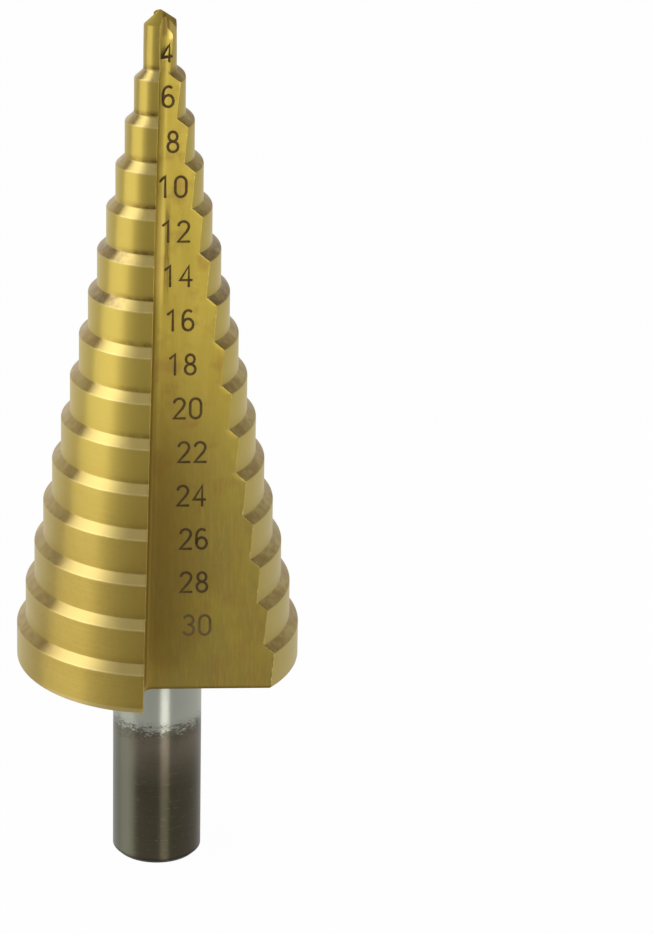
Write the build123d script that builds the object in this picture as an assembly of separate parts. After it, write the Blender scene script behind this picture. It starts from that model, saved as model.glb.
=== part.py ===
from build123d import *
import math
import os

# A step drill: one bar of high speed steel, turned to a stair of fifteen diameters, fluted,
# relieved and pointed. Millimetres. The origin is the centre of the shank's end face,
# +Z runs up the drill's axis to the point, and -Y is the side with the numbered flute.
# Seen from the point, the drill turns anticlockwise, so the front cutting face looks along +X.

# Steps
pilot_diameter = 4.0
step_rise = 2.0             # growth in diameter from one step to the next
step_count = 15
step_pitch = 5.0            # height of one step with its shoulder
shoulder_angle = 45.0       # of the shoulder's cone from the drill's axis
pilot_length = 6.8          # from the foot of the pilot step to the chisel edge

# Shank
shank_diameter = 10.0
shank_length = 24.6         # from its end face to the underside of the widest step
shank_chamfer = 0.5

# Relief of the lands: each land is turned about an axis a little off the drill's own
relief_offset = 0.15        # between the two axes
relief_lead = 20.0          # how far the offset points ahead of the cutting edge, in degrees
shoulder_relief = 0.6       # rise of each shoulder at its cutting edge, over its height at mid-land

# Flutes
flute_depth = 6.25          # from the widest step's radius down to the flute's floor, at the underside
web_at_point = 1.4          # between the floors of the two flutes, at the chisel edge
flute_angle = 93.0          # between the cutting face and the floor
flute_root_radius = 1.0
edge_lag = 1.18             # cutting face behind the centre line, at the underside
edge_lead = 0.1             # cutting face ahead of the centre line, at the chisel edge

# Point
point_angle = 115.0
flank_tilt = 9.0            # leans each flank cone down behind its lip
flank_turn = -25.0          # turns that lean about the drill's axis, which sets the chisel edge's angle
flank_shift = 0.3           # sets each flank cone's tip past the centre, which makes the chisel edge
gash_lean = 33.0            # of the gash's root from the drill's axis
gash_turn = 45.0            # of the gash's run, from the lip on towards the heel
gash_start = 0.05           # gash's root from the centre, at the height of the chisel edge
gash_side = -0.05           # gash's wall from the centre line
gash_opening = 95.0         # between the gash's wall and its floor

# Worked out from the sizes above
widest_radius = (pilot_diameter + step_rise * (step_count - 1)) / 2
body_height = step_pitch * (step_count - 1) + pilot_length
total_length = shank_length + body_height
shoulder_height = step_rise / 2 / math.tan(math.radians(shoulder_angle))
past = 2.0                  # how far a cutter runs past what it cuts


def step_radius(step):
    """Radius at the cutting edge. Step 0 is the widest."""
    return widest_radius - step_rise / 2 * step


def step_foot(step):
    """Height of a step's foot."""
    return shank_length + step_pitch * step


def stair_section(trim):
    """Half section of the steps, with each radius less by trim. X is the radius and Y the height."""
    outline = [(0, shank_length), (widest_radius - trim, shank_length)]
    for step in range(step_count - 1):
        outline.append((step_radius(step) - trim, step_foot(step + 1) - shoulder_height))
        outline.append((step_radius(step + 1) - trim, step_foot(step + 1)))
    above = total_length + past
    outline += [(pilot_diameter / 2 - trim, above), (0, above)]
    return make_face(Polyline(*outline, close=True))


def raised_shoulder(step, trim, edge_angle):
    """The front half of a shoulder, which rises towards the cutting edge: a cone that leans back
    from the edge, held inside the cylinder of its step."""
    outer = step_radius(step) - trim
    inner = step_radius(step + 1) - trim
    slope = math.tan(math.radians(shoulder_angle))
    below = 2 * shoulder_height
    above = inner / slope / 2
    lean = math.degrees(math.asin(shoulder_relief / outer))
    foot_radius = inner + below * slope
    top_radius = inner - above * slope
    upright = (Align.CENTER, Align.CENTER, Align.MIN)
    cone = Pos(0, 0, -below) * Cone(foot_radius, top_radius, below + above, align=upright)
    cone = Rot(0, 0, edge_angle) * Rot(0, -lean, 0) * cone
    return Pos(0, 0, step_foot(step + 1)) * (Cylinder(outer, 2 * step_pitch) & cone)


def relieved_land():
    """The land behind the front cutting edge: half of a stair turned about its own offset axis.
    The half ends inside both flutes, so that no seam is left on the finished drill."""
    edge_angle = -90 - math.degrees(math.asin(edge_lag / widest_radius))
    centre_angle = math.radians(edge_angle + relief_lead)
    trim = relief_offset * math.cos(math.radians(relief_lead))
    land_axis = Pos(relief_offset * math.cos(centre_angle), relief_offset * math.sin(centre_angle), 0)
    stair = revolve(Plane.XZ * stair_section(trim), Axis.Z)
    stair += [raised_shoulder(step, trim, edge_angle) for step in range(step_count - 1)]
    mid_flute = edge_angle + flute_angle / 3
    width = 2 * (widest_radius + past)
    half = Box(width, width, 2 * total_length, align=(Align.MAX, Align.CENTER, Align.MIN))
    return (land_axis * stair) & (Rot(0, 0, mid_flute + 90) * half)


def shank():
    """Plain round shank with a chamfered end. It runs up into the steps."""
    reach = shank_length + step_pitch
    bar = Cylinder(shank_diameter / 2, reach, align=(Align.CENTER, Align.CENTER, Align.MIN))
    return chamfer(bar.edges().group_by(Axis.Z)[0], shank_chamfer)


def flute():
    """Cutter for the front flute: the section of a grinding wheel, run straight up the drill.
    Its path leans in towards the axis, so that the web is thick at the shank and thin at the point."""
    floor_at_base = widest_radius - flute_depth
    run = Vector(edge_lead + edge_lag, floor_at_base - web_at_point / 2, body_height)
    below = past / body_height
    root = Vector(-edge_lag, -floor_at_base, shank_length) - run * below
    width = 2 * widest_radius
    turn = math.radians(flute_angle - 90)
    floor_end = (root.X + width * math.cos(turn), root.Y + width * math.sin(turn))
    corners = [(root.X, root.Y), floor_end, (floor_end[0], root.Y - width), (root.X, root.Y - width)]
    section = make_face(Polyline(*corners, close=True))
    section = fillet(section.vertices().sort_by_distance((root.X, root.Y))[0], flute_root_radius)
    return extrude(Pos(0, 0, root.Z) * section, run.length * (1 + 2 * below), dir=run.normalized())


def flank():
    """What is ground away above the front flank: all that lies over a blunt cone, tilted to fall
    away behind the lip."""
    half_angle = math.radians(point_angle / 2)
    cone_top = total_length + flank_shift / math.tan(half_angle)
    cone_radius = pilot_length * math.tan(half_angle)
    cone = Cone(cone_radius, 0, pilot_length, align=(Align.CENTER, Align.CENTER, Align.MAX))
    cone = Pos(0, flank_shift, cone_top) * Rot(0, 0, flank_turn) * Rot(0, -flank_tilt, 0) * cone
    width = 2 * pilot_diameter
    block = Box(width, width, pilot_length, align=(Align.CENTER, Align.CENTER, Align.MIN))
    return Pos(0, 0, total_length - pilot_length / 2) * block - cone


def gash():
    """Notch that thins the web in front of the chisel edge. Its root runs down and out through
    the flute's floor."""
    width = pilot_diameter
    root_dir = Vector(0, -math.sin(math.radians(gash_lean)), -math.cos(math.radians(gash_lean)))
    start = Vector(gash_side, -gash_start, total_length) - root_dir * past
    across = Plane(origin=start, x_dir=(1, 0, 0), z_dir=root_dir)
    rise = math.radians(90 - gash_opening)
    floor_end = (width * math.cos(rise), width * math.sin(rise))
    section = make_face(Polyline((0, 0), floor_end, (floor_end[0], width), (0, width), close=True))
    return Rot(0, 0, gash_turn) * extrude(across * section, pilot_diameter + past)


def step_drill():
    half_turn = Rot(0, 0, 180)
    land = relieved_land()
    drill = land + half_turn * land + shank()
    for cutter in (flute(), flank(), gash()):
        drill = drill - cutter - half_turn * cutter
    return drill


os.makedirs("parts", exist_ok=True)
drill = step_drill()
print("solids", len(drill.solids()), "volume", round(drill.volume, 1), "box", drill.bounding_box())
export_step(drill, "parts/step_drill.step")
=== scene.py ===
# %% [markdown]
# A step drill, dressed for a photograph
#
# The drill is ground from one bar of high speed steel. It has a round shank, fifteen steps, two straight
# flutes and a split point, and the steps wear a thin gold nitride coat. Nothing on it moves.
# This lesson loads the solid model, builds a finer skin with the same form, gives each kind of surface its
# own finish, marks the sizes on the flute, and lights it all in a small studio.

# %% The solid model and its box
import math

import bmesh
import bpy
from mathutils import Matrix, Vector


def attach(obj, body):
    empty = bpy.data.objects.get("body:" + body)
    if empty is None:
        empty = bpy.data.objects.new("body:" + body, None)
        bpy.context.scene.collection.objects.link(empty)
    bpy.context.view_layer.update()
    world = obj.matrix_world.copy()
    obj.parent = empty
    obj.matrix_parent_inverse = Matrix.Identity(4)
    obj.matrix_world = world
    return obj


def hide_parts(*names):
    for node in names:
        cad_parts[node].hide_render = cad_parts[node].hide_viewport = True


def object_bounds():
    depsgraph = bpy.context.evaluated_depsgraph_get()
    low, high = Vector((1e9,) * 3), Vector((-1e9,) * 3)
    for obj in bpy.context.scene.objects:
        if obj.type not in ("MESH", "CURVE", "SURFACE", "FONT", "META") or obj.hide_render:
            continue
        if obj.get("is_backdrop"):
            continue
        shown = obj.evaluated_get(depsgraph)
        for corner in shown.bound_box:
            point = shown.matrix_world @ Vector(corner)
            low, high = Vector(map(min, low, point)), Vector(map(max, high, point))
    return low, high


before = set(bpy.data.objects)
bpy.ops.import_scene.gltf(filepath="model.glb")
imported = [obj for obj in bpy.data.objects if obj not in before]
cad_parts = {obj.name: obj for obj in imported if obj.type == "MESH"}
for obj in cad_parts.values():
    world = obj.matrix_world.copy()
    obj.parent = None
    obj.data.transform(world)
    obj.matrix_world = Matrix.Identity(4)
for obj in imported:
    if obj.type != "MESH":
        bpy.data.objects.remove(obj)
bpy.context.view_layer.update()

# %% [markdown]
# Sizes
#
# The skin has to have the solid's own form, so it starts from the same few sizes, in millimetres as on a
# drawing. They could be measured off the solid, but a drill is drawn from such sizes, and formulas that use
# them give cleaner surfaces than any copy of its facets. All that is new is the small rounds: on the broken
# edges, and at the corner and the foot of each shoulder.

# %% Driving sizes, in millimetres
MM = 0.001

pilot_diameter = 4.0
step_rise = 2.0
step_count = 15
step_pitch = 5.0
pilot_length = 6.8
shoulder_root_radius = 0.2
shoulder_edge_radius = 0.15

shank_diameter = 10.0
shank_length = 24.6
shank_chamfer = 0.5

relief_offset = 0.15
relief_lead = math.radians(20)
shoulder_relief = 0.6

flute_depth = 6.25
web_at_point = 1.4
flute_angle = math.radians(93)
flute_root_radius = 1.0
edge_lag = 1.18
edge_lead = 0.1
edge_break = 0.05

point_angle = math.radians(115)
flank_tilt = math.radians(9)
flank_turn = math.radians(-25)
flank_shift = 0.3
gash_lean = math.radians(33)
gash_turn = math.radians(45)
gash_start = 0.05
gash_side = -0.05
gash_opening = math.radians(95)

widest_radius = (pilot_diameter + step_rise * (step_count - 1)) / 2
body_height = step_pitch * (step_count - 1) + pilot_length
total_length = shank_length + body_height
print("widest radius", widest_radius, "and length", total_length)

# %% [markdown]
# The stair, turned
#
# On the real drill one wheel, dressed as a stair, grinds all fifteen diameters. Its outline could be drawn
# by hand, but it repeats, so a loop lays out the corners and a helper rounds each of them. The outer edge
# of a shoulder is only broken, while its foot has the wheel's own small radius. True rounds are worth
# their extra rows, because an edge that catches the light is what makes metal look real.

# %% Outline of the stair
ROUND_SEGMENTS = 4


def turned_by(vector, angle):
    """The vector turned anticlockwise, in the plane."""
    c, s = math.cos(angle), math.sin(angle)
    return Vector((c * vector.x - s * vector.y, s * vector.x + c * vector.y))


def clockwise_angle(start, end):
    """How far a clockwise turn takes start to end, from 0 to a full turn."""
    return (math.atan2(start.y, start.x) - math.atan2(end.y, end.x)) % math.tau


def rounded(before, corner, after, radius):
    """Points of a round of that radius, between two straight runs that meet at the corner."""
    corner = Vector(corner)
    to_before = (Vector(before) - corner).normalized()
    to_after = (Vector(after) - corner).normalized()
    half = to_before.angle(to_after) / 2
    centre = corner + (to_before + to_after).normalized() * radius / math.sin(half)
    start = corner + to_before * radius / math.tan(half) - centre
    end = corner + to_after * radius / math.tan(half) - centre
    sweep = clockwise_angle(start, end)
    if sweep > math.pi:
        sweep -= math.tau
    return [centre + turned_by(start, -sweep * i / ROUND_SEGMENTS) for i in range(ROUND_SEGMENTS + 1)]


def stair_outline(top):
    """Rows of the stair from its underside up, as (radius at the cutting edge, height, step). The step is
    the one whose shoulder the row rounds. The rows at either end belong to none."""
    rise = step_rise / 2
    corners = [(widest_radius, shank_length, None, shoulder_edge_radius)]
    for step in range(step_count - 1):
        radius = widest_radius - rise * step
        foot = shank_length + step_pitch * (step + 1)
        corners.append((radius, foot - rise, step, shoulder_edge_radius))
        corners.append((radius - rise, foot, step, shoulder_root_radius))
    path = [(0, shank_length)] + [corner[:2] for corner in corners] + [(pilot_diameter / 2, top)]
    rows = []
    for i, (_, _, step, round_radius) in enumerate(corners):
        rows += [(p.x, p.y, step) for p in rounded(path[i], path[i + 1], path[i + 2], round_radius)]
    return rows + [(*path[-1], None)]


print("rows in the stair:", len(stair_outline(total_length)))

# %% [markdown]
# One section of the fluted drill
#
# The steps could be cut from a turned blank, with a boolean for each flute. That leaves ragged triangles
# beside the cutting edges, and they spoil the shine. Every section across the drill has the same few
# lines, though: a relieved land, the floor of a flute, its round root and its cutting face. So each
# section is worked out as one closed loop with the same count of points, and the skin is stitched from
# loop to loop. The land's circle lies a little off the drill's own axis, which gives the relief.

# %% Points of a section
LAND_SEGMENTS = 96
FLOOR_SEGMENTS = 8
ROOT_SEGMENTS = 8
FACE_SEGMENTS = 4

edge_angle = -math.pi / 2 - math.asin(edge_lag / widest_radius)
land_centre = turned_by(Vector((relief_offset, 0)), edge_angle + relief_lead)
land_trim = relief_offset * math.cos(relief_lead)
floor_tilt = flute_angle - math.pi / 2
floor_along = turned_by(Vector((1, 0)), floor_tilt)


def flute_corner(height):
    """Where the front flute's floor would meet its cutting face with no round, at that height."""
    rise = (height - shank_length) / body_height
    floor_at_base = widest_radius - flute_depth
    floor = floor_at_base - (floor_at_base - web_at_point / 2) * rise
    return Vector((-edge_lag + (edge_lag + edge_lead) * rise, -floor))


def flute_round(height):
    """Centre of the round between face and floor, and its two ends, on the face and on the floor."""
    corner = flute_corner(height)
    tangent = flute_root_radius / math.tan(flute_angle / 2)
    face_end = corner - Vector((0, tangent))
    return face_end + Vector((flute_root_radius, 0)), face_end, corner + floor_along * tangent


def cutting_corner(radius, height):
    """The front land's leading corner. On the smallest steps the round itself runs out through the land."""
    centre, face_end, _ = flute_round(height)
    land = radius - land_trim
    x = face_end.x
    y = land_centre.y - math.sqrt(land ** 2 - (x - land_centre.x) ** 2)
    if y < face_end.y:
        return Vector((x, y))
    inwards = land_centre - centre
    along = (flute_root_radius ** 2 - land ** 2 + inwards.length_squared) / (2 * inwards.length)
    aside = math.sqrt(flute_root_radius ** 2 - along ** 2)
    inwards.normalize()
    return centre + inwards * along + Vector((-inwards.y, inwards.x)) * aside


def heel_corner(radius, height):
    """Where the front flute's floor runs out through the other land."""
    start = flute_corner(height) + land_centre
    along = start.dot(floor_along)
    reach = math.sqrt(along ** 2 + (radius - land_trim) ** 2 - start.length_squared) - along
    return flute_corner(height) + floor_along * reach


def flute_line(radius, height):
    """The front flute between its two corners: in along the face, round the root, out along the floor."""
    centre, face_end, floor_start = flute_round(height)
    edge, heel = cutting_corner(radius, height), heel_corner(radius, height)
    points = []
    if edge.y < face_end.y:
        points = [edge.lerp(face_end, i / FACE_SEGMENTS) for i in range(FACE_SEGMENTS)]
        edge = face_end
    round_segments = FACE_SEGMENTS + ROOT_SEGMENTS - len(points)
    sweep = clockwise_angle(edge - centre, floor_start - centre)
    points += [centre + turned_by(edge - centre, -sweep * i / round_segments) for i in range(round_segments)]
    points += [floor_start.lerp(heel, i / FLOOR_SEGMENTS) for i in range(FLOOR_SEGMENTS)]
    return points[1:]


def half_section(radius, height):
    """From the front cutting edge clockwise round the front land, and in along the back flute."""
    edge, heel = cutting_corner(radius, height), -heel_corner(radius, height)
    flute = [-point for point in reversed(flute_line(radius, height))]
    spoke = edge - land_centre
    trimmed = edge_break / (radius - land_trim)
    sweep = clockwise_angle(spoke, heel - land_centre) - 2 * trimmed
    land = [land_centre + turned_by(spoke, -trimmed - sweep * i / LAND_SEGMENTS)
            for i in range(1, LAND_SEGMENTS)]
    broken_edge = rounded(-flute[-1], edge, land[0], edge_break)
    broken_heel = rounded(land[-1], heel, flute[0], edge_break)
    return broken_edge + land + broken_heel + flute


def section(radius, height):
    half = half_section(radius, height)
    return half + [-point for point in half]


half_count = len(half_section(widest_radius, shank_length))
land_strips = half_count - FACE_SEGMENTS - ROOT_SEGMENTS - FLOOR_SEGMENTS
print("points in a section:", 2 * half_count, "and strips on each land:", land_strips)

# %% [markdown]
# Shoulders that rise to the cutting edge
#
# A step drill cuts with its shoulders, so the edge has to be the highest part of each. The wheel that
# grinds them swings up towards the edge, which leaves a cone that leans back from it. The rows of a
# shoulder are therefore not level. Each starts as a level section, and every point of it is lifted to the
# leaning cone. The flute leans in, so a lifted point also moves along the line between two level sections.

# %% Rows in space
LEAN_ROUNDS = 6

edge_direction = turned_by(Vector((1, 0)), edge_angle)


def shoulder_rise(radius, step, angle):
    """How far the leaning cone stands over the level one, at that angle behind the cutting edge."""
    outer = widest_radius - step_rise / 2 * step - land_trim
    inner = outer - step_rise / 2
    distance = radius - land_trim
    lean = math.asin(shoulder_relief / outer)
    along, aside = distance * math.cos(angle), distance * math.sin(angle)
    height = 0
    for _ in range(LEAN_ROUNDS):
        reach = math.hypot(along * math.cos(lean) + height * math.sin(lean), aside)
        height = (inner + along * math.sin(lean) - reach) / math.cos(lean)
    return max(0, height - (inner - distance))


def rises(level, radius, step):
    """The lift of each point of a half section. In the flute it grows from the heel to the next edge."""
    if step is None:
        return [0] * len(level)
    angles = [clockwise_angle(edge_direction, point - land_centre) for point in level[:land_strips + 1]]
    land = [shoulder_rise(radius, step, angle) for angle in angles]
    flute_points = len(level) - len(land)
    return land + [land[0] * min(1, i / FLOOR_SEGMENTS) for i in range(1, flute_points + 1)]


def stair_row(radius, height, step):
    """All points of a row, in space."""
    level, higher = half_section(radius, height), half_section(radius, height + shoulder_relief)
    half = []
    for low, high, rise in zip(level, higher, rises(level, radius, step)):
        half.append(low.lerp(high, rise / shoulder_relief).to_3d() + Vector((0, 0, height + rise)))
    return half + [Vector((-point.x, -point.y, point.z)) for point in half]


for step in (0, step_count - 2):
    outer_radius = widest_radius - step_rise / 2 * step
    print("shoulder", step, "is lifted", round(shoulder_rise(outer_radius, step, 0), 2), "mm at its edge")

# %% [markdown]
# From loops to faces
#
# Everything here is stitched from closed loops of points that lie one over the other. The helpers below
# make a loop and join two loops of as many points with four-sided faces. Each face also remembers its
# finish: turned on the lands, ground in the flutes and at the point, bare on the shank.
# The skin is drawn in millimetres and scaled down once it is whole, because booleans lose their way among
# points that lie only a few millionths of a metre apart.

# %% Helpers that stitch loops
TURNED, GROUND, BARE = range(3)


def ring(bm, points):
    return [bm.verts.new(point) for point in points]


def at_height(points, height):
    return [(point.x, point.y, height) for point in points]


def stitch(bm, lower, upper, finish_of):
    """Joins two loops that run clockwise, seen from above."""
    for i in range(len(lower)):
        j = (i + 1) % len(lower)
        face = bm.faces.new((lower[j], lower[i], upper[i], upper[j]))
        face.material_index = finish_of(i)


def finish_of_column(i):
    return TURNED if i % half_count < land_strips else GROUND


def as_object(name, bm):
    mesh = bpy.data.meshes.new(name)
    bm.to_mesh(mesh)
    bm.free()
    piece = bpy.data.objects.new(name, mesh)
    bpy.context.scene.collection.objects.link(piece)
    return piece


print("finishes:", dict(turned=TURNED, ground=GROUND, bare=BARE))

# %% [markdown]
# Grinding the point
#
# The point of the real drill takes four passes of a wheel. Two leave the flanks, blunt cones that are tilted
# so that they fall away behind the lips. Two more are gashes that thin the web. These cuts cross the skin
# at odd angles, so here the boolean is the right tool. Only the last few millimetres are cut, as a short
# prism, because a boolean is quick and reliable on a small closed mesh. The rest is stitched on later.

# %% The point, cut from a short prism
ABOVE_POINT = 2.0
BELOW_POINT = 4.4
FLANK_SEGMENTS = 256
tip_foot = total_length - BELOW_POINT


def ground_cutter(name, bm):
    """A cutter that hands the ground finish over to the faces it leaves."""
    bmesh.ops.recalc_face_normals(bm, faces=bm.faces)
    for face in bm.faces:
        face.material_index = GROUND
    return as_object(name, bm)


def flank_cone():
    """All that lies under the front flank: a blunt cone, tilted, and deep enough to hold the whole prism."""
    depth = 3 * BELOW_POINT
    slope = math.tan(point_angle / 2)
    bm = bmesh.new()
    bmesh.ops.create_cone(bm, cap_ends=True, segments=FLANK_SEGMENTS, radius1=depth * slope, radius2=0,
                          depth=depth, matrix=Matrix.Translation((0, 0, -depth / 2)))
    apex = Vector((0, flank_shift, total_length + flank_shift / slope))
    lean = Matrix.Rotation(flank_turn, 4, "Z") @ Matrix.Rotation(-flank_tilt, 4, "Y")
    bm.transform(Matrix.Translation(apex) @ lean)
    return ground_cutter("flank_cone", bm)


def gash_prism():
    """The front gash: a notch with a steep wall, which runs down and out through the flute's floor."""
    run = Vector((0, -math.sin(gash_lean), -math.cos(gash_lean)))
    across, up = Vector((1, 0, 0)), run.cross(Vector((1, 0, 0)))
    start = Vector((gash_side, -gash_start, total_length)) - run * ABOVE_POINT
    width, rise = pilot_diameter, math.pi / 2 - gash_opening
    floor_end = (width * math.cos(rise), width * math.sin(rise))
    outline = [(0, 0), floor_end, (floor_end[0], width), (0, width)]
    bm = bmesh.new()
    ends = [[bm.verts.new(start + across * x + up * y + run * far) for x, y in outline]
            for far in (0, pilot_diameter + ABOVE_POINT)]
    for i in range(4):
        bm.faces.new((ends[0][i], ends[0][(i + 1) % 4], ends[1][(i + 1) % 4], ends[1][i]))
    bm.faces.new(ends[0])
    bm.faces.new(reversed(ends[1]))
    bm.transform(Matrix.Rotation(gash_turn, 4, "Z"))
    return ground_cutter("gash_prism", bm)


def grind(piece, cutter, operation):
    """Cuts the piece by the cutter and by the cutter's half turn."""
    for turn in (0, math.pi):
        cutter.matrix_world = Matrix.Rotation(turn, 4, "Z")
        modifier = piece.modifiers.new("grind", "BOOLEAN")
        modifier.operation, modifier.solver, modifier.object = operation, "EXACT", cutter
        bpy.context.view_layer.update()
        cut = piece.evaluated_get(bpy.context.evaluated_depsgraph_get())
        piece.data = bpy.data.meshes.new_from_object(cut)
        piece.modifiers.remove(modifier)
    bpy.data.objects.remove(cutter)


def ground_tip():
    bm = bmesh.new()
    radius = pilot_diameter / 2
    heights = (tip_foot, total_length + ABOVE_POINT)
    ends = [ring(bm, at_height(section(radius, height), height)) for height in heights]
    stitch(bm, *ends, finish_of_column)
    bm.faces.new(ends[0]).material_index = GROUND
    bm.faces.new(reversed(ends[1])).material_index = GROUND
    bmesh.ops.recalc_face_normals(bm, faces=bm.faces)
    tip = as_object("tip", bm)
    grind(tip, flank_cone(), "INTERSECT")
    grind(tip, gash_prism(), "DIFFERENCE")
    return tip


tip = ground_tip()
print("faces of the tip:", len(tip.data.polygons),
      "top at", round(max(v.co.z for v in tip.data.vertices), 2), "mm")

# %% [markdown]
# Stitching the skin
#
# The stair's loops are stacked up to the foot of the ground tip, whose lowest loop is the same as theirs, so
# the two weld without a seam. The underside of the widest step is a flat ring with a fluted rim and a
# round hole, where the shank comes out. It is filled between its two borders. All of it is one closed mesh,
# like the bar that the drill was ground from.

# %% The whole skin
SHANK_SEGMENTS = 144
WELD = 1e-4


def circle(radius):
    return [turned_by(Vector((radius, 0)), -math.tau * i / SHANK_SEGMENTS) for i in range(SHANK_SEGMENTS)]


def shank_outline():
    """Points of the shank from the rim of its end face up, as (radius, height)."""
    radius, chamfer = shank_diameter / 2, shank_chamfer
    low, high = (radius - chamfer, 0), (radius, chamfer)
    points = rounded((0, 0), low, high, chamfer / 5) + rounded(low, high, (radius, shank_length), chamfer / 3)
    return points + [Vector((radius, shank_length))]


def border(bm, loop):
    """The edges round a closed loop of points."""
    return [bm.edges.get((v, loop[(i + 1) % len(loop)])) for i, v in enumerate(loop)]


def build_skin():
    bm = bmesh.new()
    rows = [ring(bm, stair_row(*row)) for row in stair_outline(tip_foot)]
    for lower, upper in zip(rows, rows[1:]):
        stitch(bm, lower, upper, finish_of_column)

    shank_rows = [ring(bm, at_height(circle(p.x), p.y)) for p in shank_outline()]
    for lower, upper in zip(shank_rows, shank_rows[1:]):
        stitch(bm, lower, upper, lambda i: BARE)
    bm.faces.new(shank_rows[0]).material_index = BARE
    underside = bmesh.ops.triangle_fill(bm, use_beauty=True, normal=(0, 0, -1),
                                        edges=border(bm, rows[0]) + border(bm, shank_rows[-1]))
    for item in underside["geom"]:
        if isinstance(item, bmesh.types.BMFace):
            item.material_index = GROUND

    bm.from_mesh(tip.data)
    bpy.data.objects.remove(tip)
    inside = [f for f in bm.faces if all(abs(v.co.z - tip_foot) < WELD for v in f.verts)]
    bmesh.ops.delete(bm, geom=inside, context="FACES_ONLY")
    bmesh.ops.remove_doubles(bm, verts=bm.verts, dist=WELD)
    bmesh.ops.recalc_face_normals(bm, faces=bm.faces)
    open_edges = sum(1 for edge in bm.edges if not edge.is_manifold)
    print("volume", round(bm.calc_volume(), 1), "cubic millimetres, open edges:", open_edges)
    bm.transform(Matrix.Scale(MM, 4))
    return as_object("drill_skin", bm)


skin = build_skin()
print("triangles:", sum(len(face.vertices) - 2 for face in skin.data.polygons))

# %% [markdown]
# Soft and sharp edges
#
# A wheel leaves each surface smooth, and the surfaces meet in crisp edges. Smooth shading everywhere would
# bend the light round those edges, and flat shading would show every facet. So the skin is smooth, edges
# over thirty degrees are kept sharp, and normals are weighted by area so that the flat flutes stay flat.

# %% Shading of the edges
CRISP_ANGLE = math.radians(30)

skin.data.shade_smooth()
skin.data.set_sharp_from_angle(angle=CRISP_ANGLE)
weighted = skin.modifiers.new("weighted_normals", "WEIGHTED_NORMAL")
weighted.keep_sharp = True
print("sharp edges:", sum(1 for edge in skin.data.edges if edge.use_edge_sharp))

# %% [markdown]
# Building a finish from nodes
#
# A finish is a small graph of nodes, and drawing one in code means many lines that only make a node and wire
# it up. A few helpers keep each finish short enough to read as a recipe. All of them work on sockets, so
# that what one returns can be fed to the next. Colours are written as a screen shows them, from 0 to 255.

# %% Helpers for nodes
def linear(red, green, blue):
    """A colour from the screen, as the light that the renderer reckons with."""
    def channel(value):
        value /= 255
        return value / 12.92 if value <= 0.04045 else ((value + 0.055) / 1.055) ** 2.4
    return (channel(red), channel(green), channel(blue), 1.0)


def feed(tree, socket, value):
    if isinstance(value, bpy.types.NodeSocket):
        tree.links.new(value, socket)
    else:
        socket.default_value = value


def sums(tree, operation, *values, clamp=False):
    """One step of arithmetic on numbers."""
    node = tree.nodes.new("ShaderNodeMath")
    node.operation, node.use_clamp = operation, clamp
    for socket, value in zip(node.inputs, values):
        feed(tree, socket, value)
    return node.outputs[0]


def product(tree, *values):
    result = values[0]
    for value in values[1:]:
        result = sums(tree, "MULTIPLY", result, value)
    return result


def less(tree, value, taken):
    return sums(tree, "SUBTRACT", value, taken)


def ramp(tree, value, low, high, from_low=0.0, to_high=1.0):
    """A smooth rise from one number to another as the value goes from low to high. Low may be over high."""
    node = tree.nodes.new("ShaderNodeMapRange")
    node.interpolation_type = "SMOOTHSTEP"
    for socket, number in zip(node.inputs, (value, low, high, from_low, to_high)):
        feed(tree, socket, number)
    return node.outputs[0]


def blend(tree, share, first, second):
    """The first colour, with a share of the second over it."""
    node = tree.nodes.new("ShaderNodeMix")
    node.data_type = "RGBA"
    for name, value in (("Factor_Float", share), ("A_Color", first), ("B_Color", second)):
        feed(tree, next(s for s in node.inputs if s.identifier == name), value)
    return next(s for s in node.outputs if s.identifier == "Result_Color")


def layered(tree, colour, layers):
    """The colour under thin layers, each given as its share and its own colour on the screen."""
    for share, tint in layers:
        colour = blend(tree, share, colour, linear(*tint))
    return colour


def speckle(tree, place, scale, detail=3.0, roughness=0.5, stretch=(1, 1, 1), offset=(0, 0, 0)):
    """Soft noise from 0 to 1. Stretch squeezes it along an axis, and offset picks another patch of it."""
    mapping = tree.nodes.new("ShaderNodeMapping")
    feed(tree, mapping.inputs["Vector"], place)
    mapping.inputs["Location"].default_value = offset
    mapping.inputs["Scale"].default_value = stretch
    noise = tree.nodes.new("ShaderNodeTexNoise")
    feed(tree, noise.inputs["Vector"], mapping.outputs[0])
    for name, value in (("Scale", scale), ("Detail", detail), ("Roughness", roughness)):
        noise.inputs[name].default_value = value
    return noise.outputs["Fac"]


def places(tree):
    """A point's place on the drill in millimetres, then its x, y and z, and how far it is from the axis."""
    coordinates = tree.nodes.new("ShaderNodeTexCoord")
    scaled = tree.nodes.new("ShaderNodeVectorMath")
    scaled.operation = "SCALE"
    feed(tree, scaled.inputs[0], coordinates.outputs["Object"])
    scaled.inputs["Scale"].default_value = 1 / MM
    split = tree.nodes.new("ShaderNodeSeparateXYZ")
    feed(tree, split.inputs[0], scaled.outputs[0])
    x, y, z = split.outputs
    squares = sums(tree, "ADD", product(tree, x, x), product(tree, y, y))
    return scaled.outputs[0], x, y, z, sums(tree, "SQRT", squares)


def combined(tree, x, y, z):
    node = tree.nodes.new("ShaderNodeCombineXYZ")
    for socket, value in zip(node.inputs, (x, y, z)):
        feed(tree, socket, value)
    return node.outputs[0]


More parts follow.
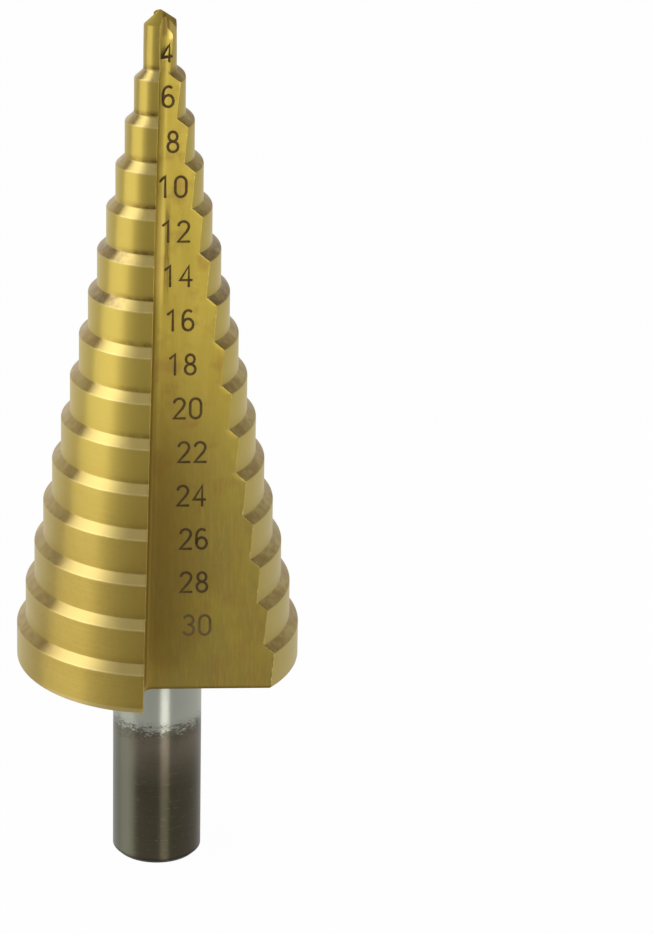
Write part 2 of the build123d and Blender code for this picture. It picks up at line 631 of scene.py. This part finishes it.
def metal(name, roughness, anisotropy=0.0, across=0.0):
    """A bare metal finish. Across turns the blur of its shine, in parts of a turn from round the axis."""
    material = bpy.data.materials.new(name)
    material.use_nodes = True
    tree = material.node_tree
    shader = tree.nodes["Principled BSDF"]
    shader.inputs["Metallic"].default_value = 1.0
    shader.inputs["Roughness"].default_value = roughness
    shader.inputs["Anisotropic"].default_value = anisotropy
    shader.inputs["Anisotropic Rotation"].default_value = across
    if anisotropy:
        tangent = tree.nodes.new("ShaderNodeTangent")
        tangent.direction_type, tangent.axis = "RADIAL", "Z"
        tree.links.new(tangent.outputs[0], shader.inputs["Tangent"])
    return material, tree, shader


def relief(tree, shader, height, depth):
    """Bumps up to depth millimetres high, where height goes from 0 to 1."""
    bump = tree.nodes.new("ShaderNodeBump")
    bump.inputs["Strength"].default_value = 1.0
    bump.inputs["Distance"].default_value = depth * MM
    feed(tree, bump.inputs["Height"], height)
    tree.links.new(bump.outputs[0], shader.inputs["Normal"])


print("gold on the screen is", [round(c, 3) for c in linear(178, 158, 82)[:3]], "in light")

# %% [markdown]
# The turned coat
#
# The lands and shoulders are turned or ground round the axis, and then coated with gold nitride a few
# thousandths of a millimetre thick. The coat follows each fine groove, so the metal shines along the axis in
# a long blurred streak, and keeps crisp edges round it. Anisotropy gives that streak without modelling
# any groove. A faint relief of fine rings breaks it up, and the tint drifts a little, as a coat does.
#
# The steps repeat, so a point's height above the foot of its own step tells what it is: the shoulder is the
# last fifth, its outer corner has a painted highlight, and the corner at its foot has painted shade in
# patches. How far a point lies behind the cutting edge comes from its angle round the axis. The shoulders
# climb towards that edge, so the climb is taken off the height first. Near the edge the lands have painted
# shade, while far behind it and on the upper steps they are painted paler, as light. The shoulders are
# painted paler as highlight, most towards the heel. They also have brown patches, and smoke has stained
# two of them. Heights are in millimetres up the drill and angles in radians behind the edge, each pair from
# where a tint is missing to where it is full.

# %% Turned gold
unstepped_length = 6.0
steps_top = total_length - unstepped_length
corner_height = step_pitch - step_rise / 2
painted_light_heights = (36.0, 60.0)
foot_shade_heights = (40.0, 70.0)
smoke_starts, smoke_ends = (66.0, 69.0), (76.0, 75.0)
brown_angles = (0.7, 1.0)
painted_light_angles = (0.9, 1.35)
heel_light_angles = (1.45, 1.75)


def turned_coat():
    material, tree, shader = metal("turned_coat", roughness=0.37, anisotropy=1.0, across=0.25)
    place, x, y, z, radius = places(tree)
    turn = sums(tree, "ARCTAN2", product(tree, x, -1.0), product(tree, y, -1.0))
    angle = sums(tree, "FLOORED_MODULO", turn, math.pi)
    behind_edge = product(tree, angle, radius)
    lift = product(tree, sums(tree, "MAXIMUM", sums(tree, "COSINE", angle), 0.0), shoulder_relief)
    climb = sums(tree, "FLOORED_MODULO", less(tree, less(tree, z, lift), shank_length), step_pitch)
    stepped = ramp(tree, z, steps_top + 0.5, steps_top)

    rings = speckle(tree, combined(tree, radius, 0.0, z), 6.0, detail=4.0, roughness=0.7)
    drift = speckle(tree, place, 0.22, detail=3.0)
    mottle = speckle(tree, place, 1.6, detail=5.0, roughness=0.65)
    smear = speckle(tree, place, 0.9, detail=2.0, offset=(2, 5, 8))

    # Painted shade: the lands darken within a few millimetres of the cutting edge, less so up the drill.
    painted_edge_shade = product(tree, ramp(tree, behind_edge, 6.0, 0.8), ramp(tree, z, 40.0, 65.0, 0.45, 0.3))
    shoulder = product(tree, ramp(tree, climb, corner_height, corner_height + 0.1), stepped)
    # Painted light: the shoulders grow paler towards the heel.
    heel = product(tree, shoulder, ramp(tree, angle, *heel_light_angles, 0.0, 0.7))
    browned = product(tree, shoulder, ramp(tree, angle, *brown_angles),
                      ramp(tree, smear, 0.35, 0.65, 0.1, 0.6))
    # Painted highlight along the outer corner of each shoulder, strongest near the cutting edge.
    painted_corner_highlight = product(tree, ramp(tree, climb, corner_height - 0.12, corner_height), stepped,
                     ramp(tree, climb, corner_height + 0.18, corner_height + 0.04),
                     ramp(tree, angle, 1.4, 0.3, 0.3))
    # Painted shade, in patches, at the foot of each land near the cutting edge, stronger up the drill.
    painted_foot_shade = product(tree, ramp(tree, climb, 0.8, 0.1), ramp(tree, behind_edge, 7.0, 1.0), stepped,
                   ramp(tree, z, *foot_shade_heights, 0.2), ramp(tree, smear, 0.35, 0.65, 0.3, 0.8))
    smoked = product(tree, shoulder, ramp(tree, z, *smoke_starts), ramp(tree, z, *smoke_ends),
                     ramp(tree, angle, 0.3, 0.7), ramp(tree, mottle, 0.35, 0.65, 0.1, 0.6))

    colour = layered(tree, blend(tree, drift, linear(165, 141, 68), linear(175, 152, 76)), [
        (ramp(tree, mottle, 0.45, 0.75, 0.0, 0.35), (150, 128, 62)),
        (ramp(tree, rings, 0.35, 0.75, 0.0, 0.3), (190, 170, 94)),
        # Painted light: far behind the cutting edge, on the lobe by the heel, the lands are paler.
        (ramp(tree, angle, *painted_light_angles, 0.0, 0.6), (194, 176, 102)),
        # Painted light: the upper steps are paler.
        (ramp(tree, z, *painted_light_heights, 0.0, 0.7), (198, 176, 86)),
        (painted_edge_shade, (136, 112, 50)),
        # Painted highlight: the shoulders are paler and less yellow.
        (product(tree, shoulder, 0.7), (181, 164, 108)),
        (heel, (214, 192, 120)),
        (browned, (166, 128, 70)),
        (product(tree, painted_corner_highlight, 0.45), (216, 198, 140)),
        (painted_foot_shade, (96, 70, 34)),
        (smoked, (124, 102, 90)),
    ])
    feed(tree, shader.inputs["Base Color"], colour)
    relief(tree, shader, rings, 0.004)
    return material


print("steps end at", round(steps_top, 1), "mm, shoulders start", corner_height, "mm over their step's foot")

# %% [markdown]
# The ground coat
#
# The flutes and the point are cut by a wheel that runs along them, and it leaves fine lines up the drill.
# They carry the same coat, a little duller. The lines are noise drawn out along the axis, and they tint
# the metal and tilt its surface. The shine blurs across the lines, so it goes round the axis here.
#
# Low down, the tall cutting face shades the root of the flute, so the coat looks brown and dull there.
# Higher up the root is shallow, and it carries a painted highlight strip with a darker streaked strip beside
# it. Below that, right beside the face, the round of the root is painted lighter against the dark it mirrors.
# The whole flat is painted darker towards the bottom as shade, and its lowest edge and the underside of the
# widest step are painted dark as shade. How far a point lies from the cutting face is its x less the face's
# own, and the back flute is the front one turned by half a turn. Where the flat meets the land, small chips
# in the coat are painted as bright glints. At the point the faces are pale, the notch beside the axis has
# painted brown shade, and the end of each gash is painted lighter, as light.

# %% Ground gold
low_shade_heights = (68.0, 40.0)
shade_heights = (68.0, 46.0)
strip_starts, strip_ends = (67.0, 72.0), (82.0, 78.0)
gash_light_starts, gash_light_ends = (96.0, 96.4), (97.5, 97.1)
point_heights = (98.1, 98.6)
notch_shade_heights = (98.4, 99.2)


def ground_coat():
    material, tree, shader = metal("ground_coat", roughness=0.42, anisotropy=0.6, across=0.0)
    place, x, y, z, radius = places(tree)
    over_shank = less(tree, z, shank_length)
    rise = product(tree, over_shank, 1 / body_height)
    face = less(tree, product(tree, rise, edge_lag + edge_lead), edge_lag)
    from_face = less(tree, product(tree, x, product(tree, sums(tree, "SIGN", y), -1.0)), face)
    step = sums(tree, "FLOOR", product(tree, over_shank, 1 / step_pitch))
    land = less(tree, widest_radius, product(tree, step, step_rise / 2))

    lines = speckle(tree, place, 3.2, detail=5.0, roughness=0.7, stretch=(1, 1, 0.02))
    broad = speckle(tree, place, 0.5, detail=2.0, stretch=(1, 1, 0.06))
    cloud = speckle(tree, place, 0.16, detail=3.0)
    stain = speckle(tree, place, 0.45, detail=4.0, offset=(3, 9, 4))
    glint_nicks = speckle(tree, place, 1.1, detail=3.0, roughness=0.6, offset=(6, 1, 3))

    upper = ramp(tree, z, *strip_starts)
    # Painted highlight: a pale strip along the shallow upper root.
    painted_root_highlight = product(tree, ramp(tree, from_face, 1.1, 0.7), upper, ramp(tree, z, *strip_ends, 0.25))
    dark_strip = product(tree, ramp(tree, from_face, 0.95, 1.1), ramp(tree, from_face, 1.7, 1.4), upper,
                         ramp(tree, z, *strip_ends), ramp(tree, lines, 0.35, 0.6, 0.3, 0.8))
    shade = product(tree, ramp(tree, from_face, 10.0, 1.2), ramp(tree, z, *shade_heights),
                    ramp(tree, z, 20.0, 32.0))
    # Painted light: right beside the face, the root's round is lightened against the dark it mirrors.
    root = product(tree, ramp(tree, from_face, 0.5, 0.1), ramp(tree, z, 72.0, 67.0))
    # Painted shade: the notch beside the axis is darkened brown.
    notch = product(tree, ramp(tree, from_face, 0.1, 0.3), ramp(tree, from_face, 0.9, 0.6),
                    ramp(tree, z, *notch_shade_heights))
    point_face = product(tree, ramp(tree, from_face, 0.8, 1.1), ramp(tree, z, *point_heights))
    # Painted light: the end of each gash is lightened.
    painted_gash_light = product(tree, ramp(tree, from_face, 0.15, 0.3), ramp(tree, from_face, 0.75, 0.6),
                       ramp(tree, z, *gash_light_starts), ramp(tree, z, *gash_light_ends))
    # Small chips in the coat where the flat meets the land, painted as bright glints.
    chip_glints = product(tree, ramp(tree, less(tree, land, radius), 0.4, 0.15), ramp(tree, glint_nicks, 0.57, 0.64),
                   ramp(tree, from_face, 1.0, 3.0))

    # Painted shade: the flat darkens towards the bottom.
    low = ramp(tree, z, *low_shade_heights)
    colour = layered(tree, blend(tree, low, linear(179, 157, 68), linear(137, 119, 60)), [
        (ramp(tree, broad, 0.35, 0.7, 0.0, 0.35), (150, 126, 52)),
        (ramp(tree, cloud, 0.45, 0.7, 0.0, 0.3), (164, 152, 56)),
        (ramp(tree, stain, 0.48, 0.7, 0.0, 0.5), (142, 108, 56)),
        (ramp(tree, lines, 0.4, 0.75, 0.0, 0.18), (196, 174, 90)),
        (product(tree, painted_root_highlight, 0.6), (214, 186, 100)),
        (dark_strip, (112, 90, 44)),
        (product(tree, shade, 0.65), (104, 82, 34)),
        (product(tree, root, 0.9), (164, 138, 62)),
        (product(tree, notch, 0.6), (128, 92, 58)),
        (product(tree, point_face, 0.9), (240, 210, 126)),
        (product(tree, painted_gash_light, 0.8), (236, 210, 130)),
        (product(tree, chip_glints, 0.8), (250, 238, 190)),
        # Painted shade: the flute's lowest edge and the underside of the widest step are darkened.
        (ramp(tree, z, shank_length + 0.4, shank_length + 0.1, 0.0, 0.6), (90, 68, 30)),
    ])
    feed(tree, shader.inputs["Base Color"], colour)
    relief(tree, shader, lines, 0.004)
    return material


print("the flute's face runs from", -edge_lag, "to", edge_lead, "mm across the drill")

# %% [markdown]
# The bare shank
#
# The shank carries no coat. The coating oven has left it brown and dark, with a mottled border, and only the
# ring that its clamp covered is still bright steel. Both run round the axis, so height alone tells them
# apart, and noise frays the line between them. It is squeezed along the axis, so that the border breaks up
# into short flecks round the shank. Its left side is painted paler, as light. Fine scratches go round it too,
# where a chuck has turned on it. The chamfer of the end is painted dark, as the shade under the drill that
# it mirrors.

# %% Bright and darkened steel
ring_heights = (16.3, 17.6)
soot_heights = (15.4, 17.0)
fleck_heights = (18.4, 17.2)
brown_heights = (15.5, 9.0)
chamfer_shade_heights = (0.9, 0.4)
painted_light_side = (-1.8, -3.4)


def bare_shank():
    material, tree, shader = metal("bare_shank", roughness=0.34, anisotropy=1.0, across=0.25)
    place, x, _, z, radius = places(tree)
    fray = speckle(tree, place, 1.1, detail=7.0, roughness=0.7, stretch=(1, 1, 2.6))
    flecks = speckle(tree, place, 3.4, detail=4.0, roughness=0.7, stretch=(1, 1, 2.2), offset=(4, 2, 6))
    border_height = sums(tree, "ADD", z, ramp(tree, fray, 0.3, 0.7, -0.9, 0.9))
    bright = ramp(tree, border_height, *ring_heights)
    soot = product(tree, ramp(tree, border_height, *soot_heights), ramp(tree, flecks, 0.4, 0.55))
    rings = speckle(tree, combined(tree, radius, 0.0, z), 9.0, detail=4.0, roughness=0.8)
    cloud = speckle(tree, place, 0.3, detail=4.0, offset=(7, 3, 1))
    scuffs = speckle(tree, place, 1.3, detail=5.0, roughness=0.7, stretch=(1, 1, 2.5), offset=(1, 5, 2))
    dark = layered(tree, linear(104, 96, 82), [
        (ramp(tree, z, *brown_heights), (68, 65, 50)),
        (ramp(tree, cloud, 0.4, 0.65, 0.0, 0.4), (80, 68, 56)),
        (ramp(tree, scuffs, 0.55, 0.75, 0.0, 0.4), (118, 112, 98)),
        # Painted light: the left side of the shank is paler.
        (ramp(tree, x, *painted_light_side, 0.0, 0.75), (114, 114, 98)),
        (product(tree, soot, 0.6), (52, 50, 42)),
    ])
    speckled = product(tree, ramp(tree, z, *fleck_heights), ramp(tree, flecks, 0.45, 0.6), 0.7)
    steel = blend(tree, speckled, linear(166, 168, 156), linear(88, 86, 76))
    colour = layered(tree, blend(tree, bright, dark, steel), [
        (ramp(tree, rings, 0.5, 0.8, 0.0, 0.25), (140, 138, 126)),
        # Painted shade: the chamfer at the end is darkened.
        (ramp(tree, z, *chamfer_shade_heights, 0.0, 0.85), (38, 36, 28)),
    ])
    feed(tree, shader.inputs["Base Color"], colour)
    relief(tree, shader, rings, 0.003)
    return material


for finish in (turned_coat, ground_coat, bare_shank):
    skin.data.materials.append(finish())
print("finishes on the skin:", [m.name for m in skin.data.materials])

# %% [markdown]
# The sizes on the flute
#
# Each step but the widest has its size scribed on the flat floor of the front flute. A scriber draws every
# figure as a single line with round ends, so a font with thick and thin strokes would look wrong. Instead
# each figure is a few lines and arcs, written once in a box one unit high, and a helper lays a thin
# ribbon along them. The ribbons lie a hair over the floor, tilted as it is.

# %% Figures as single lines
ARC_STEPS = 12


def arc(x, y, across, up, start, end):
    """Points on an ellipse, from one angle to another in degrees, anticlockwise if the end is larger."""
    angles = [math.radians(start + (end - start) * i / ARC_STEPS) for i in range(ARC_STEPS + 1)]
    return [(x + across * math.cos(a), y + up * math.sin(a)) for a in angles]


FIGURES = {
    "0": (0.48, [arc(0.24, 0.70, 0.24, 0.30, 0, 180) + arc(0.24, 0.30, 0.24, 0.30, 180, 360)
                 + [(0.48, 0.70)]]),
    "1": (0.41, [[(0.0, 0.81), (0.21, 1.0), (0.21, 0.0)]]),
    "2": (0.48, [arc(0.24, 0.75, 0.23, 0.25, 165, -20) + [(0.38, 0.50), (0.0, 0.0), (0.48, 0.0)]]),
    "3": (0.46, [arc(0.22, 0.76, 0.21, 0.24, 150, -85) + arc(0.22, 0.26, 0.24, 0.26, 85, -150)]),
    "4": (0.50, [[(0.38, 0.0), (0.38, 1.0), (0.0, 0.30), (0.50, 0.30)]]),
    "6": (0.46, [arc(0.24, 0.62, 0.24, 0.38, 60, 180) + arc(0.23, 0.29, 0.23, 0.29, 180, 540)]),
    "8": (0.46, [arc(0.23, 0.76, 0.19, 0.24, -90, 270), arc(0.23, 0.26, 0.23, 0.26, 90, 450)]),
}
print("figures drawn:", " ".join(FIGURES))

# %% [markdown]
# Laying the ribbons
#
# A number's place is worked out from its step: its middle is a little under half way up the step, and all of
# them line up along a line that leans in towards the point, as the flute does. The real ones wander a
# little off that line, so a few are nudged sideways.

# %% Numbers on the floor of the flute
figure_height = 2.26
pilot_figure_height = 1.8
figure_spread = 1.1
stroke_width = 0.3
figure_gap = 0.6
number_height = 2.44
pilot_number_height = 2.26
number_side_at_base = 5.17
number_lean = -0.0608
nudges = {6: -0.12, 8: 0.12, 10: -0.1, 12: -0.06, 14: -0.08, 16: -0.1, 18: -0.12,
          20: 0.12, 22: 0.36, 28: -0.22, 30: -0.15}
RIBBON_LIFT = 0.012
CAP_STEPS = 6
SHARPEST_BEND = 0.6


def on_floor(x, z, lift):
    """The point of the front flute at x and z, on its floor or on the round at its root, raised by lift."""
    centre, _, floor_start = flute_round(z)
    if x > floor_start.x:
        y = floor_start.y + (x - floor_start.x) * math.tan(floor_tilt)
    else:
        y = centre.y + math.sqrt(flute_root_radius ** 2 - (x - centre.x) ** 2)
    return (x, y - lift, z)


def ribbon(bm, points, width, lift):
    """A flat strip along the points, with round ends, on the flute's floor."""
    points = [Vector(p) for p in points]
    sides = []
    for i, point in enumerate(points):
        before, after = points[max(i - 1, 0)], points[min(i + 1, len(points) - 1)]
        inward = (point - before).normalized() if i else (after - point).normalized()
        outward = (after - point).normalized() if i < len(points) - 1 else inward
        along = (inward + outward).normalized()
        stretch = 1 / max(along.dot(inward), SHARPEST_BEND)
        side = Vector((-along.y, along.x)) * width / 2 * stretch
        sides.append((point + side, point - side))
    verts = [[bm.verts.new(on_floor(p.x, p.y, lift)) for p in pair] for pair in sides]
    for (a, b), (c, d) in zip(verts, verts[1:]):
        bm.faces.new((a, c, d, b))
    for end, inner in ((0, 1), (-1, -2)):
        away = (points[end] - points[inner]).normalized()
        fan = [points[end] + turned_by(away, math.pi / 2 - math.pi * i / CAP_STEPS) * width / 2
               for i in range(1, CAP_STEPS)]
        left, right = verts[end] if end else verts[end][::-1]
        bm.faces.new([left] + [bm.verts.new(on_floor(p.x, p.y, lift)) for p in fan] + [right])


def write_number(bm, text, x, z, tall):
    """Lays the figures of a number side by side, with their middle at x and z."""
    wide = tall * figure_spread
    widths = [FIGURES[figure][0] * wide for figure in text]
    left = x - (sum(widths) + figure_gap * (len(text) - 1)) / 2
    for figure, width in zip(text, widths):
        for i, line in enumerate(FIGURES[figure][1]):
            spots = [(left + px * wide, z + (py - 0.5) * tall) for px, py in line]
            ribbon(bm, spots, stroke_width, RIBBON_LIFT * (1 + i / 4))
        left += width + figure_gap


def size_numbers():
    bm = bmesh.new()
    for step in range(1, step_count):
        foot = shank_length + step_pitch * step
        size = round(2 * widest_radius - step_rise * step)
        on_pilot = size == pilot_diameter
        height = foot + (pilot_number_height if on_pilot else number_height)
        side = number_side_at_base + number_lean * (height - shank_length) + nudges.get(size, 0)
        tall = pilot_figure_height if on_pilot else figure_height
        write_number(bm, str(size), side, height, tall)
    bmesh.ops.recalc_face_normals(bm, faces=bm.faces)
    for face in bm.faces:
        if face.normal.y > 0:
            face.normal_flip()
    bm.transform(Matrix.Scale(MM, 4))
    return as_object("size_numbers", bm)


numbers = size_numbers()
print("ribbon faces:", len(numbers.data.polygons))

# %% [markdown]
# Burnt lines
#
# The scribed lines are rough and dark brown, uneven in depth. The 24 and the 26 are the darkest, and towards
# the shank the lines are fainter. A dark metal, rougher than the coat round it, reads as burnt coat, and
# noise lets a little gold show through.

# %% Dark marks
dark_heights = (55.0, 49.0)
faint_heights = (38.0, 31.0)


def burnt_mark():
    material, tree, shader = metal("burnt_mark", roughness=0.6)
    place, _, _, z, _ = places(tree)
    patchy = speckle(tree, place, 2.4, detail=4.0, roughness=0.6)
    colour = layered(tree, linear(70, 54, 30), [
        (ramp(tree, patchy, 0.3, 0.75), (92, 74, 42)),
        (ramp(tree, z, *dark_heights, 0.0, 0.5), (56, 43, 25)),
        (ramp(tree, z, *faint_heights, 0.0, 0.4), (124, 106, 64)),
    ])
    feed(tree, shader.inputs["Base Color"], colour)
    shader.inputs["Metallic"].default_value = 0.85
    return material


numbers.data.materials.append(burnt_mark())
mark_heights = [vertex.co.z / MM for vertex in numbers.data.vertices]
print("marks lie from", round(min(mark_heights), 1), "to", round(max(mark_heights), 1), "mm up the drill")

# %% [markdown]
# The camera
#
# The picture was taken from a little above, with a long lens that hardly narrows the drill towards its
# point. The place, tilt and lens below were found by fitting a camera to the drill's outline. The drill
# stands left of the middle because the camera looks past it.

# %% Camera
camera_place = Vector((0.01451, -0.61408, 0.32189))
camera_tilt = (math.radians(65.934), math.radians(-0.885), 0.0)
camera_lens = 232.64
sensor_width = 36.0
drill_middle = Vector((0, 0, 0.05))

camera_data = bpy.data.cameras.new("camera")
camera_data.lens, camera_data.sensor_width = camera_lens, sensor_width
camera = bpy.data.objects.new("camera", camera_data)
camera.location, camera.rotation_euler = camera_place, camera_tilt
bpy.context.scene.collection.objects.link(camera)
bpy.context.scene.camera = camera
print("camera is", round((camera_place - drill_middle).length, 3), "m from the drill's middle")

# %% [markdown]
# The floor
#
# The drill stands on a plain pale floor. Behind the drill, where the camera looks, the floor is white to the
# camera and to the metal. In front it fades to its own pale grey, so that the metal that faces the camera
# has something darker to mirror. The white reaches farther forward on the left. From about half way to the
# camera the floor grows pale again, and the leaning floor of the flute mirrors that. A share of plain matt
# floor keeps the soft shadow.

# %% Floor
floor_size = 3.0
fade_front, fade_back = -0.09, -0.03
fade_slant = 0.3
far_start, far_end = -0.22, -0.36
white_share = 0.98
far_share = 0.6
floor_grey = (0.55, 0.55, 0.54, 1)


def floor_finish():
    material = bpy.data.materials.new("pale_floor")
    material.use_nodes = True
    tree = material.node_tree
    matt = tree.nodes["Principled BSDF"]
    matt.inputs["Base Color"].default_value = floor_grey
    matt.inputs["Roughness"].default_value = 0.9
    matt.inputs["Specular IOR Level"].default_value = 0.0
    white = tree.nodes.new("ShaderNodeEmission")
    rays = tree.nodes.new("ShaderNodeLightPath")
    place = tree.nodes.new("ShaderNodeTexCoord")
    split = tree.nodes.new("ShaderNodeSeparateXYZ")
    tree.links.new(place.outputs["Object"], split.inputs[0])
    seen = sums(tree, "ADD", sums(tree, "ADD", rays.outputs["Is Camera Ray"], rays.outputs["Is Glossy Ray"]),
                rays.outputs["Is Transmission Ray"], clamp=True)
    left = sums(tree, "MAXIMUM", product(tree, split.outputs["X"], -1.0), 0.0)
    behind = ramp(tree, sums(tree, "ADD", split.outputs["Y"], product(tree, left, fade_slant)),
                  fade_front, fade_back, 0.0, white_share)
    far = ramp(tree, split.outputs["Y"], far_start, far_end, 0.0, far_share)
    shares = tree.nodes.new("ShaderNodeMixShader")
    tree.links.new(product(tree, seen, sums(tree, "ADD", behind, far)), shares.inputs[0])
    tree.links.new(matt.outputs[0], shares.inputs[1])
    tree.links.new(white.outputs[0], shares.inputs[2])
    tree.links.new(shares.outputs[0], tree.nodes["Material Output"].inputs["Surface"])
    return material


bm = bmesh.new()
bmesh.ops.create_grid(bm, x_segments=1, y_segments=1, size=floor_size / 2)
floor = as_object("floor", bm)
floor.data.materials.append(floor_finish())
floor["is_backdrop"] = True
print("floor is", floor_size, "m wide")

# %% [markdown]
# Soft light
#
# One large soft box at the left does most of the work. Metal shows what it mirrors, so the box's near edge
# becomes the crisp edge of the bright band on each land. A box overhead lights the shoulders near the
# cutting edges, and a narrow one at the right draws the bright line down the shank. The room is pale
# behind the drill, like a paper sweep, fairly pale low down all round, and a dim grey elsewhere.

# %% Lamps and room
def soft_box(name, azimuth, elevation, distance, width, height, level):
    """A rectangular lamp that looks at the drill. Azimuth is from the camera's side round by the left, in
    degrees. Level is how bright it looks, where 1 is white paper."""
    a, e = math.radians(azimuth), math.radians(elevation)
    away = Vector((-math.sin(a) * math.cos(e), -math.cos(a) * math.cos(e), math.sin(e)))
    data = bpy.data.lights.new(name, "AREA")
    data.shape, data.size, data.size_y = "RECTANGLE", width, height
    data.energy = level * math.pi * width * height
    lamp = bpy.data.objects.new(name, data)
    lamp.location = drill_middle + away * distance
    lamp.rotation_euler = away.to_track_quat("Z", "Y").to_euler()
    bpy.context.scene.collection.objects.link(lamp)


soft_box("left_box", azimuth=81, elevation=35, distance=0.9, width=0.76, height=0.86, level=3.8)
soft_box("top_box", azimuth=30, elevation=66, distance=1.0, width=0.5, height=0.45, level=1.7)
soft_box("right_strip", azimuth=-21, elevation=20, distance=0.9, width=0.32, height=0.7, level=6.6)

world = bpy.data.worlds.new("room")
bpy.context.scene.world = world
world.use_nodes = True
sky = world.node_tree
direction = sky.nodes.new("ShaderNodeTexCoord")
up = sky.nodes.new("ShaderNodeSeparateXYZ")
sky.links.new(direction.outputs["Generated"], up.inputs[0])
paper, room = (0.95, 0.95, 0.95, 1), (0.22, 0.22, 0.22, 1)
sweep = product(sky, ramp(sky, up.outputs["Y"], 0.0, 0.5), ramp(sky, up.outputs["Z"], 0.64, 0.2),
                ramp(sky, up.outputs["X"], 0.6, -0.1, 0.35))
low = ramp(sky, up.outputs["Z"], 0.3, 0.0, 0.0, 0.55)
tone = blend(sky, sums(sky, "MAXIMUM", sweep, low), room, paper)
sky.links.new(tone, sky.nodes["Background"].inputs["Color"])
bpy.context.scene.view_settings.view_transform = "Standard"

# %% [markdown]
# Tying the pieces to the solid
#
# The skin stands for the solid, so the solid is hidden, and both the skin and the numbers ride on the
# drill's one body. The last lines print the finished drill's box.

# %% Bodies and the drill's box
for piece in (skin, numbers):
    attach(piece, "root")
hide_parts("step_drill")

visual_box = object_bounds()
for name, corner in zip(("from", "to"), visual_box):
    print("visual box", name, [round(c / MM, 2) for c in corner])
